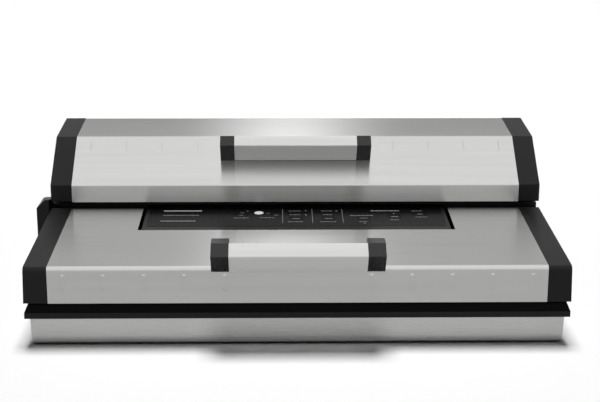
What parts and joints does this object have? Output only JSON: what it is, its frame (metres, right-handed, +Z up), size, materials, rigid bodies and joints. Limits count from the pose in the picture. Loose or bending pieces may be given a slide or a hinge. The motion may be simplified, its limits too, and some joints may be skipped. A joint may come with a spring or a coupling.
{
  "type": "vacuum sealer",
  "caption": "Countertop bar vacuum sealer: low wide steel body with a hinged front lid, a hinged roll cover, twin handles and a dark key panel.",
  "frame": {"origin": "centre of the bounding box in plan, on the table under the feet", "axes": "+X across the machine to the right as the user faces it, +Y from the front lid back to the roll cover, +Z up"},
  "size_m": [0.4924, 0.2936, 0.1514],
  "materials": {
    "steel": "brushed stainless sheet",
    "cap_plastic": "satin moulded black",
    "console_plastic": "fine matt black",
    "inner_plastic": "matt moulded dark grey",
    "key_plastic": "matt black key cap",
    "lit_key": "white light key",
    "post_plastic": "semi-gloss black",
    "handle_metal": "fine brushed aluminium",
    "foot_rubber": "black rubber",
    "gasket_foam": "grey closed-cell foam",
    "silicone": "red silicone",
    "fastener": "plated screws and pins",
    "blade_steel": "ground blade",
    "heater": "nickel-chrome strip",
    "tape": "woven glass tape",
    "plate_metal": "grey coated sheet",
    "motor_metal": "zinc-plated can",
    "board": "solder-masked board",
    "hose_silicone": "clear silicone hose",
    "valve_plastic": "natural nylon",
    "switch_plastic": "gloss black switch",
    "rail_plastic": "matt black rail",
    "slider_plastic": "grey slider"
  },
  "bodies": {
    "base": {"base_band": "steel", "bottom_plate": "plate_metal", "rubber_feet": "foot_rubber", "foot_screws": "fastener", "deck_frame": "cap_plastic", "chamber_trough": "inner_plastic", "lower_gasket": "gasket_foam", "seal_bar_carrier": "inner_plastic", "heating_wires": "heater", "ptfe_tape": "tape", "console": "console_plastic", "panel_overlay": "console_plastic", "control_board": "board", "pump_motors": "motor_metal", "pump_heads": "inner_plastic", "power_board": "board", "fan_housing": "inner_plastic", "release_valve": "valve_plastic", "vacuum_hose": "hose_silicone", "rear_housing": "cap_plastic", "roll_tub": "inner_plastic", "port_housing": "cap_plastic", "hose_socket": "inner_plastic", "mains_inlet": "switch_plastic", "rocker_frame": "switch_plastic", "cutter_rail": "rail_plastic", "lid_switch": "inner_plastic", "cover_hinge_pins": "fastener"},
    "lid": {"lid_cover": "steel", "lid_cap_left": "cap_plastic", "lid_cap_right": "cap_plastic", "lid_liner": "inner_plastic", "upper_gasket": "gasket_foam", "press_strip": "silicone", "lid_hinge_pins": "fastener", "front_handle_bar": "handle_metal", "front_handle_posts": "post_plastic", "front_handle_screws": "fastener"},
    "cover": {"cover_sheet": "steel", "cover_cap_left": "cap_plastic", "cover_cap_right": "cap_plastic", "cover_liner": "inner_plastic", "rear_handle_bar": "handle_metal", "rear_handle_posts": "post_plastic", "rear_handle_screws": "fastener"},
    "cutter": {"cutter_carriage": "slider_plastic", "cutter_blade": "blade_steel"},
    "rocker": {"power_rocker": "switch_plastic"},
    "plunger": {"switch_plunger": "valve_plastic"},
    "fan": {"fan_impeller": "inner_plastic"},
    "key_1": {"key_1": "key_plastic"},
    "key_2": {"key_2": "lit_key"},
    "key_3": {"key_3": "key_plastic"},
    "key_4": {"key_4": "key_plastic"},
    "key_5": {"key_5": "key_plastic"},
    "key_6": {"key_6": "key_plastic"},
    "key_7": {"key_7": "key_plastic"},
    "key_8": {"key_8": "key_plastic"}
  },
  "joints": [
    {"name": "lid_hinge", "type": "hinge", "parent": "base", "child": "lid", "pos_m": [0.00632, 0.01432, 0.066], "axis": [-1, 0, 0], "range_deg": [0, 55]},
    {"name": "cover_hinge", "type": "hinge", "parent": "base", "child": "cover", "pos_m": [0.00632, 0.14332, 0.087], "axis": [-1, 0, 0], "range_deg": [0, 75]},
    {"name": "cutter_slide", "type": "slide", "parent": "base", "child": "cutter", "axis": [1, 0, 0], "range_m": [0, 0.37]},
    {"name": "power_rocker_tilt", "type": "hinge", "parent": "base", "child": "rocker", "pos_m": [0.13532, 0.13382, 0.05], "axis": [1, 0, 0], "range_deg": [0, 16]},
    {"name": "switch_plunger_slide", "type": "slide", "parent": "base", "child": "plunger", "axis": [0, 0, 1], "range_m": [0, 0.003]},
    {"name": "fan_spin", "type": "hinge", "parent": "base", "child": "fan", "pos_m": [0.01432, -0.00268, 0.01], "axis": [0, 0, 1], "continuous": true},
    {"name": "key_1_press", "type": "slide", "parent": "base", "child": "key_1", "axis": [0, 0, -1], "range_m": [0, 0.0006], "stiffness_N_per_m": 1500},
    {"name": "key_2_press", "type": "slide", "parent": "base", "child": "key_2", "axis": [0, 0, -1], "range_m": [0, 0.0006], "stiffness_N_per_m": 1500},
    {"name": "key_3_press", "type": "slide", "parent": "base", "child": "key_3", "axis": [0, 0, -1], "range_m": [0, 0.0006], "stiffness_N_per_m": 1500},
    {"name": "key_4_press", "type": "slide", "parent": "base", "child": "key_4", "axis": [0, 0, -1], "range_m": [0, 0.0006], "stiffness_N_per_m": 1500},
    {"name": "key_5_press", "type": "slide", "parent": "base", "child": "key_5", "axis": [0, 0, -1], "range_m": [0, 0.0006], "stiffness_N_per_m": 1500},
    {"name": "key_6_press", "type": "slide", "parent": "base", "child": "key_6", "axis": [0, 0, -1], "range_m": [0, 0.0006], "stiffness_N_per_m": 1500},
    {"name": "key_7_press", "type": "slide", "parent": "base", "child": "key_7", "axis": [0, 0, -1], "range_m": [0, 0.0006], "stiffness_N_per_m": 1500},
    {"name": "key_8_press", "type": "slide", "parent": "base", "child": "key_8", "axis": [0, 0, -1], "range_m": [0, 0.0006], "stiffness_N_per_m": 1500}
  ],
  "couplings": [
    {"joint": "switch_plunger_slide", "follows": "lid_hinge", "m_per_rad": 0.003125}
  ]
}
